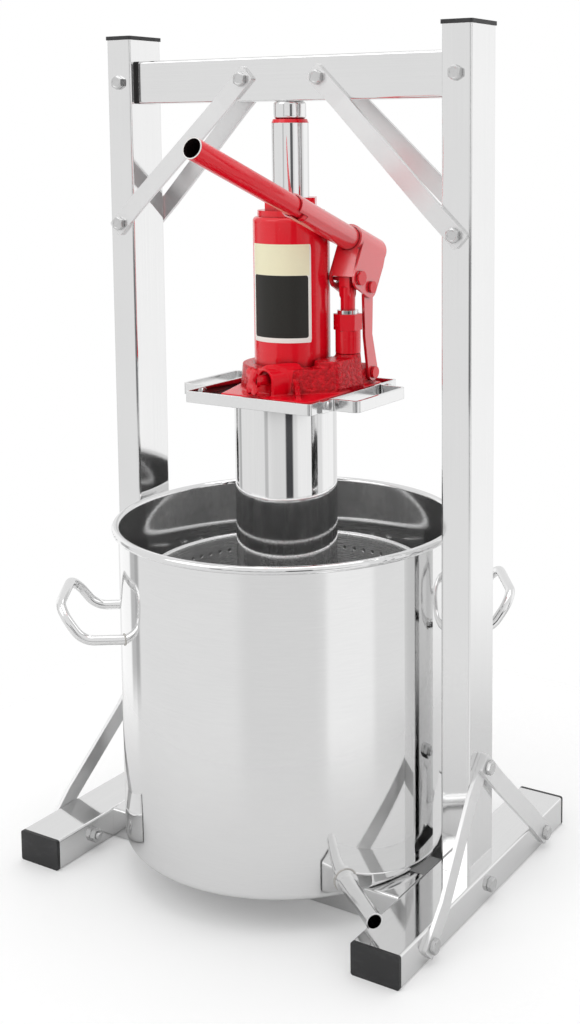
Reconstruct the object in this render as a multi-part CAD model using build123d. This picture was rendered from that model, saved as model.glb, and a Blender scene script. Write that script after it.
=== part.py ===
from build123d import *
import math
import os

# Millimetres. X runs along the top beam, Y to the back, Z up. The origin is on the floor between the uprights.

# Frame tube and its joints
tube_long = 40.0
tube_short = 25.0
tube_wall = 1.5
tube_corner = 2.0
upright_length = 647.0
foot_length = 274.0
rail_y = 53.0
beam_height = 35.0
beam_drop = 35.5
gasket = 3.0
cap = 3.0
cap_overhang = 0.8
plug_length = 12.0
tenon_reach = 45.0
fit = 0.2
seat_gap = 0.2

# Flat braces
brace_width = 15.0
brace_thickness = 3.0
brace_flat = 28.0
brace_margin = 8.0
brace_corner = 2.0
beam_bolt_x = 36.5
brace_drop = 118.0
lower_bolt_z = 107.0
foot_bolt_y = 97.0

# Frame bolts and nuts
bolt_radius = 3.0
hex_across = 10.0
head_height = 4.0
nut_height = 5.0
bolt_end = 2.0
hole_clearance = 0.2
thread_clearance = 0.05

# Barrel, its handles and its spout
press_x = -2.0
press_y = -8.0
barrel_radius = 136.0
barrel_clearance = 6.3
barrel_wall = 1.2
barrel_height = 257.8
barrel_corner = 5.0
barrel_bead = 3.2
handle_turn = 35.2
handle_rod = 3.5
handle_half = 39.4
handle_leg = 25.7
handle_reach = 44.8
handle_level = 174.2
handle_rise = 24.5
handle_bend = 8.0
spout_turn = -37.9
spout_radius = 6.4
spout_bore = 5.2
spout_reach = 61.0
spout_hole = 5.6
spout_level = 13.0
ring_radius = 8.4
ring_length = 6.0

# Basket, press plate and column
juice_gap = 24.0
basket_wall = 1.2
basket_height = 199.6
basket_corner = 6.0
basket_bead = 2.5
basket_foot_height = 14.0
basket_foot_radius = 8.0
basket_foot_circle = 84.0
basket_feet = 3
sieve_hole = 2.0
sieve_holes = 24
sieve_rows = 3
sieve_pitch = 50.0
sieve_margin = 14.0
plate_clearance = 10.0
plate_thickness = 5.0
plate_edge = 1.0
collar_height = 15.0
collar_wall = 4.0
column_radius = 41.3
column_wall = 2.0

# Jack tray and its strap handles
tray_x = 120.0
tray_y = 130.0
tray_height = 9.0
tray_sheet = 2.0
tray_corner = 3.0
strap_thickness = 2.5
strap_height = 9.0
strap_reach = 22.5
strap_half = 36.0
strap_foot = 16.0
strap_bend = 4.0
strap_bolt_radius = 1.8
strap_bolt_across = 6.0
strap_bolt_head = 2.5
strap_nut = 2.4
strap_bolt_inset = 7.5
strap_bolt_rise = 5.6

# Jack base casting
base_margin = 3.5
base_plate = 7.0
base_corner = 10.0
base_edge = 1.5
base_height = 26.5
drum_radius = 40.0
cast_taper = 5.0
pump_gap = 2.0
pump_y = 16.0
boss_radius = 12.5
boss_height = 34.9
hood_x = 7.0
hood_y = -49.0
hood_rise = 19.0
hood_radius = 11.5
hood_turn = 23.0
hood_length = 30.0
hood_pocket = 8.5
pocket_depth = 6.0
rib_x = 38.0
rib_width = 5.5
rib_front = -54.0
rib_rise = 20.0
cylinder_seat = 8.5

# Tank, ram and screw
tank_radius = 30.8
tank_wall = 3.0
tank_height = 118.0
tank_roof = 6.0
tank_shoulder = 3.5
ram_radius = 14.9
ram_length = 149.0
ram_out = 59.0
ram_bore = 9.5
ram_bore_depth = 100.0
running_gap = 0.05
cylinder_wall = 4.0
tank_nut_across = 40.0
tank_ring_radius = 27.0
tank_ring = 5.0
tank_nut_height = 15.0
spigot_radius = 18.0
spigot_length = 8.0
ram_collar = 3.0
ram_collar_top = 13.6
saddle_radius = 13.0
saddle_height = 14.0
saddle_edge = 2.5
screw_length = 95.0
filler_radius = 4.0
filler_head = 3.0
filler_z = 98.0
filler_turn = 135.0

# Release valve
stem_radius = 4.0
stem_length = 22.0
wing_distance = 11.5
wing_half = 10.0
wing_end = 4.5
wing_waist = 3.2
wing_thickness = 4.0

# Pump, links and handle socket
pump_radius = 10.2
pump_round = 18.6
pump_hex_across = 20.0
pump_hex = 13.0
pump_thread = 8.5
pump_thread_length = 14.0
gland_radius = 8.5
gland_height = 3.0
piston_radius = 5.8
piston_depth = 34.0
piston_pin_rise = 26.0
eye_radius = 5.0
eye_half = 4.9
pin_radius = 3.0
pin_head_radius = 4.8
pin_head = 2.2
pin_tail = 2.0
fulcrum_y = 16.4
fulcrum_drop = 8.7
lug_y = 23.4
lug_rise = 16.2
lug_radius = 7.0
link_gap = 0.3
link_thickness = 2.5
link_half = 5.5
link_eye = 7.0
link_knee = 31.0
cheek_thickness = 2.0
cheek_fulcrum = 9.0
cheek_front = 9.0
slot_radius = 5.0
slot_forward = 1.0
lever_angle = 20.4
lever_offset = 32.6
socket_front = 26.9
socket_back = 17.0
socket_end = 2.5
socket_edge = 4.0
web_thickness = 2.0
web_bottom = 1.0

# Two-piece lever
lever_radius = 9.6
lever_wall = 1.2
lever_gap = 0.35
lever_joint = 112.0
lever_tip = 237.8
lever_lap = 28.0
lever_bore = 6.9
notch_turn = 38.0
notch_width = 7.0
notch_length = 12.0
key_length = 5.0

# Heights and faces that follow from the sizes above
upright_top = tube_short + upright_length
inner_face = barrel_radius - barrel_wall + 2 * barrel_bead + barrel_clearance
upright_x = inner_face + tube_short / 2
foot_face = upright_x + tube_long / 2
beam_z = upright_top - beam_drop
beam_bottom = beam_z - beam_height / 2
upper_bolt_z = beam_z - brace_drop
barrel_bottom = tube_short + seat_gap
handle_z = barrel_bottom + handle_level
spout_z = barrel_bottom + spout_level
basket_radius = barrel_radius - juice_gap
basket_bottom = barrel_bottom + barrel_wall + seat_gap + basket_foot_height
plate_bottom = basket_bottom + basket_wall + seat_gap
column_bottom = plate_bottom + plate_thickness
ram_top = beam_bottom - seat_gap - saddle_height - ram_collar
nut_top = ram_top - ram_out
tank_top = nut_top - tank_nut_height
base_top = tank_top - tank_height
tray_floor = base_top - base_height
tray_bottom = tray_floor - tray_sheet
cast_top = tray_floor + base_plate
base_x = tray_x - 2 * tray_sheet - 2 * base_margin
base_y = tray_y - 2 * tray_sheet - 2 * base_margin
pump_x = tank_radius + pump_gap + pump_radius
cylinder_bottom = tray_floor + cylinder_seat
boss_top = tray_floor + boss_height
pump_hex_bottom = boss_top + pump_round
pump_top = pump_hex_bottom + pump_hex
gland_top = pump_top + gland_height
piston_pin_z = gland_top + piston_pin_rise
fulcrum = (pump_y + fulcrum_y, piston_pin_z - fulcrum_drop)
lug = (pump_y + lug_y, tray_floor + lug_rise)
valve_z = tray_floor + hood_rise
socket_bore = lever_radius + lever_gap
cheek_outer = socket_bore + cheek_thickness
link_outer = socket_bore - link_gap
link_inner = link_outer - link_thickness
lug_half = link_inner - link_gap
pin_hole = pin_radius + running_gap
sides = {"left": -1, "right": 1}
ends = {"front": -1, "rear": 1}
press_axis = Pos(press_x, press_y, 0)


def rect_tube(width, depth, length):
    outer = RectangleRounded(width, depth, tube_corner)
    inner = Rectangle(width - 2 * tube_wall, depth - 2 * tube_wall)
    return extrude(outer - inner, length / 2, both=True)


def bore(point, axis, radius, length):
    return extrude(Plane(origin=point, z_dir=axis) * Circle(radius), length / 2, both=True)


def upright_pipe(radius, bottom, top):
    return extrude(Plane.XY.offset(bottom) * Circle(radius), top - bottom)


def hull(*circles):
    outline = [edge for y, z, radius in circles for edge in (Pos(y, z) * Circle(radius)).edges()]
    return make_face(make_hull(outline).edges() if len(circles) > 1 else outline)


def across_x(outline, start, depth):
    face = Plane(origin=(pump_x + start, 0, 0), x_dir=(0, 1, 0), z_dir=(1, 0, 0)) * outline
    return extrude(face, depth, dir=(1, 0, 0))


def pin_along_x(y, z, left, right, radius):
    return across_x(Pos(y, z) * Circle(radius), left, right - left)


def hex_prism(across, bottom, top, turn=0):
    outline = RegularPolygon(across / 2, 6, major_radius=False, rotation=turn)
    return extrude(Plane.XY.offset(bottom) * outline, top - bottom)


# Where each family of frame bolts sits: seat of the head, way the head faces, gripped thickness
front_face = -tube_long / 2
bolts = {
    "beam_pin_bolts": [((s * upright_x, front_face, beam_z), (0, -1, 0), tube_long) for s in sides.values()],
    "beam_brace_bolts": [
        ((s * beam_bolt_x, -tube_short / 2 - brace_thickness, beam_z), (0, -1, 0), tube_short + 2 * brace_thickness)
        for s in sides.values()
    ],
    "upright_brace_bolts": [
        ((s * upright_x, front_face - brace_thickness, upper_bolt_z), (0, -1, 0), tube_long + 2 * brace_thickness)
        for s in sides.values()
    ],
    "foot_pin_bolts": [((s * foot_face, 0, tube_short / 2), (s, 0, 0), tube_long) for s in sides.values()],
    "foot_brace_bolts": [
        ((s * (foot_face + brace_thickness), e * foot_bolt_y, tube_short / 2), (s, 0, 0), tube_long + brace_thickness)
        for s in sides.values()
        for e in ends.values()
    ],
    "lower_brace_bolts": [
        ((s * (upright_x + tube_short / 2 + 2 * brace_thickness), 0, lower_bolt_z), (s, 0, 0),
         tube_short + 2 * brace_thickness)
        for s in sides.values()
    ],
}
hole_radius = bolt_radius + hole_clearance


def bolt(seat, out, grip):
    place = Plane(origin=seat, z_dir=out)
    head = extrude(place * RegularPolygon(hex_across / 2, 6, major_radius=False), head_height)
    return head + extrude(place * Circle(bolt_radius), -(grip + nut_height + bolt_end))


def nut(seat, out, grip):
    place = Plane(origin=seat, z_dir=out).offset(-grip)
    outline = RegularPolygon(hex_across / 2, 6, major_radius=False) - Circle(bolt_radius + thread_clearance)
    return extrude(place * outline, -nut_height)


def drill(shape, *families):
    for family in families:
        for seat, out, grip in bolts[family]:
            shape -= bore(seat, out, hole_radius, 3 * grip)
    return shape


def frame_tubes():
    parts = {}
    tenon = Rectangle(tube_short - 2 * tube_wall, tube_long - 2 * tube_wall)
    beam_tenon = Rectangle(tube_short - 2 * tube_wall, beam_height - 2 * tube_wall)
    for name, s in sides.items():
        foot = Pos(s * upright_x, 0, tube_short / 2) * Rot(90, 0, 0) * rect_tube(tube_long, tube_short, foot_length)
        foot -= extrude(Pos(s * upright_x, 0, tube_short) * tenon, tube_wall + fit, both=True)
        parts["foot_" + name] = drill(foot, "foot_pin_bolts", "foot_brace_bolts")
        upright = Pos(s * upright_x, 0, tube_short + upright_length / 2)
        upright = upright * rect_tube(tube_short, tube_long, upright_length)
        window = Plane(origin=(s * inner_face, 0, beam_z), x_dir=(0, 1, 0), z_dir=(1, 0, 0)) * beam_tenon
        upright -= extrude(window, tube_wall + fit, both=True)
        parts["upright_" + name] = drill(upright, "beam_pin_bolts", "upright_brace_bolts", "lower_brace_bolts")
    for name, e in ends.items():
        rail = Rot(0, 90, 0) * rect_tube(tube_short, tube_long, 2 * (upright_x - tube_long / 2))
        parts["cross_rail_" + name] = Pos(0, e * rail_y, tube_short / 2) * rail
    beam = Rot(0, 90, 0) * rect_tube(beam_height, tube_short, 2 * (inner_face - gasket))
    parts["top_beam"] = drill(Pos(0, 0, beam_z) * beam, "beam_brace_bolts")
    return parts


def frame_joints():
    narrow = tube_short - 2 * tube_wall - 2 * fit
    wide = tube_long - 2 * tube_wall - 2 * fit
    tall = beam_height - 2 * tube_wall - 2 * fit
    upright_tenons = []
    beam_tenons = []
    gaskets = []
    caps = []
    foot_caps = []
    for s in sides.values():
        base = Plane.XY.offset(tube_wall) * Pos(s * upright_x, 0) * Rectangle(narrow, wide)
        tenon = extrude(base, tube_short - tube_wall + tenon_reach)
        upright_tenons.append(drill(tenon, "foot_pin_bolts"))
        side = Plane(origin=(s * (inner_face - gasket - tenon_reach), 0, beam_z), x_dir=(0, 1, 0), z_dir=(s, 0, 0))
        tenon = extrude(side * Rectangle(narrow, tall), tenon_reach + gasket + tube_short - tube_wall)
        beam_tenons.append(drill(tenon, "beam_pin_bolts"))
        side = Plane(origin=(s * (inner_face - gasket), 0, beam_z), x_dir=(0, 1, 0), z_dir=(s, 0, 0))
        outline = RectangleRounded(tube_short, beam_height, tube_corner)
        gaskets.append(extrude(side * (outline - Rectangle(narrow + 2 * fit, tall + 2 * fit)), gasket))
        top = Pos(s * upright_x, 0, upright_top)
        flange = RectangleRounded(tube_short + 2 * cap_overhang, tube_long + 2 * cap_overhang, tube_corner)
        plug = top * extrude(Rectangle(narrow, wide), -plug_length)
        caps.append(top * extrude(flange, cap) + plug)
        for e in ends.values():
            end = Plane(
                origin=(s * upright_x, e * foot_length / 2, tube_short / 2), x_dir=(1, 0, 0), z_dir=(0, e, 0)
            )
            flange = extrude(end * RectangleRounded(tube_long, tube_short, tube_corner), cap)
            foot_caps.append(flange + extrude(end * Rectangle(wide, narrow), -plug_length))
    return {
        "upright_tenons": Compound(upright_tenons),
        "beam_tenons": Compound(beam_tenons),
        "beam_gaskets": Compound(gaskets),
        "upright_caps": Compound(caps),
        "foot_caps": Compound(foot_caps),
    }


def bent_bar(start, end, out):
    start = Vector(*start)
    out = Vector(*out)
    span = Vector(*end) - start
    step = span.dot(out)
    along = span - out * step
    length = along.length
    inner = [(-brace_margin, 0), (brace_flat, 0), (length - brace_flat, step), (length + brace_margin, step)]
    outer = [(x, y + brace_thickness) for x, y in reversed(inner)]
    bar = extrude(make_face(Polyline(*inner, *outer, close=True)), brace_width / 2, both=True)
    bar = fillet(bar.edges().filter_by(Axis.Y), brace_corner)
    for x, y in ((0, 0), (length, step)):
        bar -= bore((x, y, 0), (0, 1, 0), hole_radius, 4 * brace_thickness)
    return Plane(origin=start, x_dir=along, z_dir=along.cross(out)) * bar


def braces():
    parts = {}
    for side, s in sides.items():
        for end, e in ends.items():
            top = (s * beam_bolt_x, e * tube_short / 2, beam_z)
            low = (s * upright_x, e * tube_long / 2, upper_bolt_z)
            parts[f"upper_brace_{side}_{end}"] = bent_bar(top, low, (0, e, 0))
            layer = brace_thickness if end == "rear" else 0
            top = (s * (upright_x + tube_short / 2 + layer), 0, lower_bolt_z)
            low = (s * foot_face, e * foot_bolt_y, tube_short / 2)
            parts[f"lower_brace_{side}_{end}"] = bent_bar(top, low, (s, 0, 0))
    return parts


def frame_bolts():
    parts = {name: Compound([bolt(*place) for place in places]) for name, places in bolts.items()}
    parts["frame_nuts"] = Compound([nut(*place) for places in bolts.values() for place in places])
    return parts


def vessel(radius, wall, bottom, height, corner, bead):
    top = bottom + height - bead
    outer = upright_pipe(radius, bottom, top)
    outer = fillet(outer.edges().sort_by(Axis.Z)[:1], corner)
    inner = upright_pipe(radius - wall, bottom + wall, top + 2 * bead)
    inner = fillet(inner.edges().sort_by(Axis.Z)[:1], corner - wall)
    return outer + Pos(0, 0, top) * Torus(radius - wall + bead, bead) - inner


def spout_bar(radius, start, length):
    return Rot(0, 0, spout_turn) * bore((start + length / 2, 0, spout_z), (1, 0, 0), radius, length)


def barrel():
    shell = vessel(barrel_radius, barrel_wall, barrel_bottom, barrel_height, barrel_corner, barrel_bead)
    start = barrel_radius - 2 * barrel_wall
    full = spout_reach + 2 * barrel_wall
    shell -= spout_bar(spout_hole, start, full)
    wall = upright_pipe(barrel_radius, 0, upright_top)
    spout = spout_bar(spout_radius, start, full) + spout_bar(ring_radius, start, ring_length + 2 * barrel_wall)
    spout -= wall
    spout -= spout_bar(spout_bore, start, full)
    leg = barrel_radius + handle_leg
    grip = barrel_radius + handle_reach
    high = handle_z + handle_rise
    root = math.sqrt(barrel_radius**2 - handle_half**2) - handle_rod
    corners = [(root, -handle_half, handle_z), (leg, -handle_half, handle_z), (grip, -handle_half, high)]
    corners += [(x, -y, z) for x, y, z in reversed(corners)]
    path = FilletPolyline(*corners, radius=handle_bend)
    rod = sweep(Plane(origin=path @ 0, z_dir=path % 0) * Circle(handle_rod), path=path) - wall
    return {
        "barrel": press_axis * shell,
        "barrel_handle_right": press_axis * Rot(0, 0, handle_turn) * rod,
        "barrel_handle_left": press_axis * Rot(0, 0, handle_turn + 180) * rod,
        "spout": press_axis * spout,
    }


def basket():
    shell = vessel(basket_radius, basket_wall, basket_bottom, basket_height, basket_corner, basket_bead)
    floor_radius = basket_radius - basket_corner
    shell -= upright_pipe(floor_radius, basket_bottom - basket_wall, basket_bottom + 2 * basket_wall)
    floor = upright_pipe(floor_radius - fit, basket_bottom, basket_bottom + basket_wall)
    for turn in range(basket_feet):
        foot = Pos(basket_foot_circle, 0) * Circle(basket_foot_radius)
        foot = extrude(Plane.XY.offset(basket_bottom - basket_foot_height) * foot, basket_foot_height)
        floor += Rot(0, 0, turn * 360 / basket_feet) * foot
    holes = []
    top = basket_bottom + basket_height - sieve_margin
    for row in range(sieve_rows):
        for turn in range(sieve_holes):
            hole = bore((basket_radius, 0, top - row * sieve_pitch), (1, 0, 0), sieve_hole, 6 * basket_wall)
            holes.append(Rot(0, 0, (turn + row % 2 / 2) * 360 / sieve_holes) * hole)
    return {"basket_wall": press_axis * (shell - holes), "basket_floor": press_axis * floor}


def press_head():
    radius = basket_radius - basket_wall - plate_clearance
    plate = upright_pipe(radius, plate_bottom, column_bottom)
    plate = chamfer(plate.edges().filter_by(GeomType.CIRCLE), plate_edge)
    collar_radius = column_radius - column_wall - fit
    collar = upright_pipe(collar_radius, column_bottom, column_bottom + collar_height)
    collar -= upright_pipe(collar_radius - collar_wall, column_bottom, column_bottom + collar_height)
    column = upright_pipe(column_radius, column_bottom, tray_bottom)
    column -= upright_pipe(column_radius - column_wall, column_bottom, tray_bottom)
    outside = RectangleRounded(tray_x, tray_y, tray_corner)
    inside = RectangleRounded(tray_x - 2 * tray_sheet, tray_y - 2 * tray_sheet, tray_corner - tray_sheet)
    tray = extrude(Plane.XY.offset(tray_bottom) * outside, tray_height)
    tray -= extrude(Plane.XY.offset(tray_floor) * inside, tray_height)
    parts = {"press_plate": plate, "plate_collar": collar, "press_column": column}
    parts = {name: press_axis * shape for name, shape in parts.items()}
    bolt_y = strap_half + strap_foot - strap_bolt_inset
    bolt_z = tray_bottom + strap_bolt_rise
    screws = []
    nuts = []
    hexagon = RegularPolygon(strap_bolt_across / 2, 6, major_radius=False)
    for name, s in sides.items():
        near = s * (tray_x + strap_thickness) / 2
        far = near + s * strap_reach
        corners = [(near, -strap_half - strap_foot), (near, -strap_half), (far, -strap_half)]
        corners += [(x, -y) for x, y in reversed(corners)]
        path = FilletPolyline(*[(x, y, tray_bottom + strap_height / 2) for x, y in corners], radius=strap_bend)
        section = Plane(origin=path @ 0, x_dir=(1, 0, 0), z_dir=path % 0)
        strap = sweep(section * Rectangle(strap_thickness, strap_height), path=path)
        for e in ends.values():
            seat = (s * (tray_x / 2 + strap_thickness), e * bolt_y, bolt_z)
            place = Plane(origin=seat, z_dir=(s, 0, 0))
            hole = bore(seat, (1, 0, 0), strap_bolt_radius + hole_clearance, 4 * (strap_thickness + tray_sheet))
            strap -= hole
            tray -= hole
            grip = strap_thickness + tray_sheet
            shank = extrude(place * Circle(strap_bolt_radius), -grip - strap_nut)
            screws.append(extrude(place * hexagon, strap_bolt_head) + shank)
            ring = hexagon - Circle(strap_bolt_radius + thread_clearance)
            nuts.append(extrude(place.offset(-grip) * ring, -strap_nut))
        parts["strap_handle_" + name] = strap
    parts["jack_tray"] = tray
    parts["strap_screws"] = Compound(screws)
    parts["strap_nuts"] = Compound(nuts)
    return parts


def cast_block(top, *circles):
    draft = (top - cast_top) * math.tan(math.radians(cast_taper))
    upper = [(x, y, radius - draft) for x, y, radius in circles]
    return loft([Plane.XY.offset(cast_top) * hull(*circles), Plane.XY.offset(top) * hull(*upper)])


hood_out = (-math.sin(math.radians(hood_turn)), -math.cos(math.radians(hood_turn)), 0)
hood_face = Plane(origin=(hood_x, hood_y, valve_z), x_dir=(0, 0, 1), z_dir=hood_out)


def jack_base():
    plate = extrude(Plane.XY.offset(tray_floor) * RectangleRounded(base_x, base_y, base_corner), base_plate)
    base = fillet(plate.faces().sort_by(Axis.Z)[-1].edges(), base_edge)
    base += cast_block(base_top, (0, 0, drum_radius), (pump_x, pump_y, boss_radius))
    base += cast_block(boss_top, (pump_x, pump_y, boss_radius))
    skirt = hull((0, 0, hood_radius), (-hood_radius * 2, 0, hood_radius))
    hood = extrude(hood_face * skirt, hood_length, dir=-Vector(*hood_out))
    base += hood & Pos(0, 0, cast_top) * Box(
        2 * base_x, 2 * base_y, base_height, align=(Align.CENTER, Align.CENTER, Align.MIN)
    )
    rib = make_hull(
        (Pos(rib_front + rib_width, tray_floor + rib_rise - rib_width) * Circle(rib_width)).edges()
        + Line((0, tray_floor + base_edge), (0, tray_floor + rib_rise)).edges()
        + Line((rib_front, cast_top), (0, cast_top)).edges()
    )
    base += across_x(rib, rib_x - pump_x - rib_width / 2, rib_width)
    ear = hull((*lug, lug_radius), (lug[0], cast_top, lug_radius), (pump_y, cast_top, lug_radius))
    ear &= Pos(0, cast_top) * Rectangle(4 * lug[0], base_height * 2, align=(Align.CENTER, Align.MIN))
    base += across_x(ear, -lug_half, 2 * lug_half)
    base -= pin_along_x(*lug, -cheek_outer, cheek_outer, pin_hole)
    base -= extrude(hood_face * Circle(hood_pocket), -pocket_depth)
    base -= extrude(hood_face * Circle(stem_radius + running_gap), -stem_length - running_gap)
    base -= upright_pipe(ram_radius + running_gap + cylinder_wall + fit, cylinder_bottom, boss_top)
    base -= upright_pipe(tank_radius + fit, base_top, boss_top)
    bottom = boss_top - pump_thread_length - fit
    return {"jack_base": base - Pos(pump_x, pump_y) * upright_pipe(pump_thread + fit, bottom, boss_top)}


def jack_tank():
    tank = upright_pipe(tank_radius, base_top, tank_top)
    tank = fillet(tank.edges().filter_by(GeomType.CIRCLE).sort_by(Axis.Z)[-1:], tank_shoulder)
    tank -= upright_pipe(tank_radius - tank_wall, base_top, tank_top - tank_roof)
    tank -= upright_pipe(spigot_radius + thread_clearance, base_top, tank_top)
    filler = (tank_radius, 0, base_top + filler_z)
    depth = 2 * (tank_wall + filler_head)
    tank -= Rot(0, 0, filler_turn) * bore(filler, (1, 0, 0), filler_radius + thread_clearance, depth)
    plug = Rot(0, 0, filler_turn) * bore(filler, (1, 0, 0), filler_radius, depth)
    plug &= upright_pipe(tank_radius + filler_head, base_top, tank_top)
    plug -= upright_pipe(tank_radius - tank_wall, base_top, tank_top)
    bore_radius = ram_radius + running_gap
    spigot_bottom = tank_top - spigot_length
    cylinder = upright_pipe(bore_radius + cylinder_wall, cylinder_bottom, spigot_bottom)
    cylinder -= upright_pipe(bore_radius, cylinder_bottom, spigot_bottom)
    cap_nut = upright_pipe(spigot_radius, spigot_bottom, tank_top)
    cap_nut += upright_pipe(tank_ring_radius, tank_top, tank_top + tank_ring)
    cap_nut += hex_prism(tank_nut_across, tank_top + tank_ring, nut_top)
    cap_nut -= upright_pipe(bore_radius, spigot_bottom, nut_top)
    return {"jack_tank": tank, "filler_plug": plug, "ram_cylinder": cylinder, "tank_nut": cap_nut}


def jack_ram():
    ram = upright_pipe(ram_radius, ram_top - ram_length, ram_top)
    ram -= upright_pipe(ram_bore, ram_top - ram_bore_depth, ram_top)
    collar = extrude(Plane.XY.offset(ram_top) * Circle(ram_radius), ram_collar, taper=math.degrees(
        math.atan2(ram_radius - ram_collar_top, ram_collar)))
    collar -= upright_pipe(ram_bore, ram_top, ram_top + ram_collar)
    seat = ram_top + ram_collar
    saddle = upright_pipe(saddle_radius, seat, seat + saddle_height)
    saddle = fillet(saddle.edges().filter_by(GeomType.CIRCLE), saddle_edge)
    screw = saddle + upright_pipe(ram_bore - thread_clearance, seat - screw_length, seat + saddle_edge)
    return {"ram": ram, "ram_collar": collar, "extension_screw": screw}


def release_valve():
    stem = extrude(hood_face.offset(wing_distance - wing_thickness / 2) * Circle(stem_radius),
                   -(stem_length + wing_distance - wing_thickness / 2))
    lobe = Pos(wing_half - wing_end, 0) * Circle(wing_end)
    waist = Rectangle(2 * (wing_half - wing_end), 2 * wing_waist)
    wing = lobe + mirror(lobe, Plane.YZ) + waist + Circle(stem_radius + wing_thickness / 4)
    return {"release_valve": stem + extrude(hood_face.offset(wing_distance) * wing, wing_thickness / 2, both=True)}


def pump():
    place = Pos(pump_x, pump_y)
    rod_hole = piston_radius + running_gap
    body = upright_pipe(pump_thread, boss_top - pump_thread_length, boss_top)
    body += upright_pipe(pump_radius, boss_top, pump_hex_bottom)
    body += hex_prism(pump_hex_across, pump_hex_bottom, pump_top, turn=30)
    body -= upright_pipe(rod_hole, boss_top - pump_thread_length, pump_top)
    gland = upright_pipe(gland_radius, pump_top, gland_top) - upright_pipe(rod_hole, pump_top, gland_top)
    shoulder = piston_pin_z - eye_radius - eye_half / 2
    piston = place * upright_pipe(piston_radius, gland_top - piston_depth, shoulder)
    eye = hull((pump_y, piston_pin_z, eye_radius), (pump_y, shoulder - eye_radius, eye_radius))
    piston += across_x(eye, -eye_half, 2 * eye_half)
    piston -= pin_along_x(pump_y, piston_pin_z, -cheek_outer, cheek_outer, pin_hole)
    head = cheek_outer + link_gap
    pin = pin_along_x(pump_y, piston_pin_z, -head - pin_tail, head, pin_radius)
    pin += pin_along_x(pump_y, piston_pin_z, head, head + pin_head, pin_head_radius + slot_forward)
    return {
        "pump_cylinder": place * body,
        "pump_gland": place * gland,
        "pump_piston": piston,
        "piston_pin": pin,
    }


def links():
    knee = (fulcrum[0], lug[1] + link_knee)
    outline = hull((*fulcrum, link_eye), (*knee, link_half)) + hull((*knee, link_half), (*lug, link_eye))
    outline -= Pos(*fulcrum) * Circle(pin_hole)
    outline -= Pos(*lug) * Circle(pin_hole)
    straps = [across_x(outline, link_inner, link_thickness), across_x(outline, -link_outer, link_thickness)]
    link_pin = pin_along_x(*fulcrum, -cheek_outer - link_gap, cheek_outer + link_gap, pin_radius)
    lug_pin = pin_along_x(*lug, -link_outer - link_gap, link_outer + link_gap, pin_radius)
    for s in sides.values():
        start = s * (cheek_outer + link_gap)
        link_pin += pin_along_x(*fulcrum, *sorted((start, start + s * pin_head)), pin_head_radius)
        start = s * (link_outer + link_gap)
        lug_pin += pin_along_x(*lug, *sorted((start, start + s * pin_head)), pin_head_radius)
    return {"link_straps": Compound(straps), "link_pin": link_pin, "lug_pin": lug_pin}


# Lever frame: first axis along the lever to its tip, second away from the fulcrum, third to the left
tilt = math.radians(lever_angle)
lever_plane = Plane(origin=(pump_x, *fulcrum), x_dir=(0, -math.cos(tilt), math.sin(tilt)), z_dir=(-1, 0, 0))


def lever_rod(radius, start, end):
    return bore(((start + end) / 2, lever_offset, 0), (1, 0, 0), radius, end - start)


def handle_socket():
    outer = cheek_outer
    tube = lever_rod(outer, -socket_back, socket_front)
    tube = fillet(tube.edges().filter_by(GeomType.CIRCLE).sort_by(Axis.X)[:1], socket_edge)
    pin = lever_plane.to_local_coords(Vector(pump_x, pump_y, piston_pin_z))
    strip = Pos((socket_front - socket_back) / 2, lever_offset - outer / 2) * Rectangle(
        socket_front + socket_back - 2 * socket_edge, outer)
    outline = make_hull(
        Circle(cheek_fulcrum).edges() + (Pos(pin.X, pin.Y) * Circle(cheek_front)).edges() + strip.edges())
    outline -= Circle(pin_hole)
    outline -= Pos(pin.X + slot_forward, pin.Y) * Circle(slot_radius)
    tube += extrude(Plane.XY.offset(socket_bore) * outline, cheek_thickness, dir=(0, 0, 1))
    tube += extrude(Plane.XY.offset(-socket_bore) * outline, cheek_thickness, dir=(0, 0, -1))
    web_height = lever_offset - socket_bore - web_bottom + cheek_thickness
    web = Pos(socket_front - web_thickness / 2, web_bottom + web_height / 2) * Rectangle(web_thickness, web_height)
    tube += extrude(web, socket_bore + fit, both=True)
    tube -= lever_rod(socket_bore, socket_end - socket_back, lever_tip)
    return {"handle_socket": lever_plane * tube}


def lever():
    start = socket_end - socket_back + lever_gap
    inner = lever_radius - lever_wall
    rear = lever_rod(lever_radius, start, lever_joint) - lever_rod(inner, start, lever_joint)
    low = Pos(lever_joint, lever_offset, 0) * Rot(notch_turn, 0, 0) * Pos(0, -lever_radius, 0)
    rear -= low * Box(2 * notch_length, 2 * lever_radius, notch_width)
    front_radius = inner - lever_gap
    front = lever_rod(front_radius, lever_joint - lever_lap, lever_tip)
    key = Box(key_length, 2 * lever_radius, notch_width - 2 * lever_gap)
    key = low * Pos(key_length / 2 + lever_gap - notch_length, 0, 0) * key
    front += key & lever_rod(lever_radius, start, lever_tip)
    front -= lever_rod(lever_bore, lever_joint - lever_lap, lever_tip)
    return {"lever_rear": lever_plane * rear, "lever_front": lever_plane * front}


makers = [frame_tubes, frame_joints, braces, frame_bolts, barrel, basket, press_head, jack_base, jack_tank, jack_ram]
makers += [release_valve, pump, links, handle_socket, lever]
os.makedirs("parts", exist_ok=True)
for maker in makers:
    for node, shape in maker().items():
        export_step(shape, f"parts/{node}.step")
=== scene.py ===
import bmesh
import bpy
from math import cos, hypot, pi, radians, sin, sqrt, tan
from mathutils import Matrix, Vector


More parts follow.
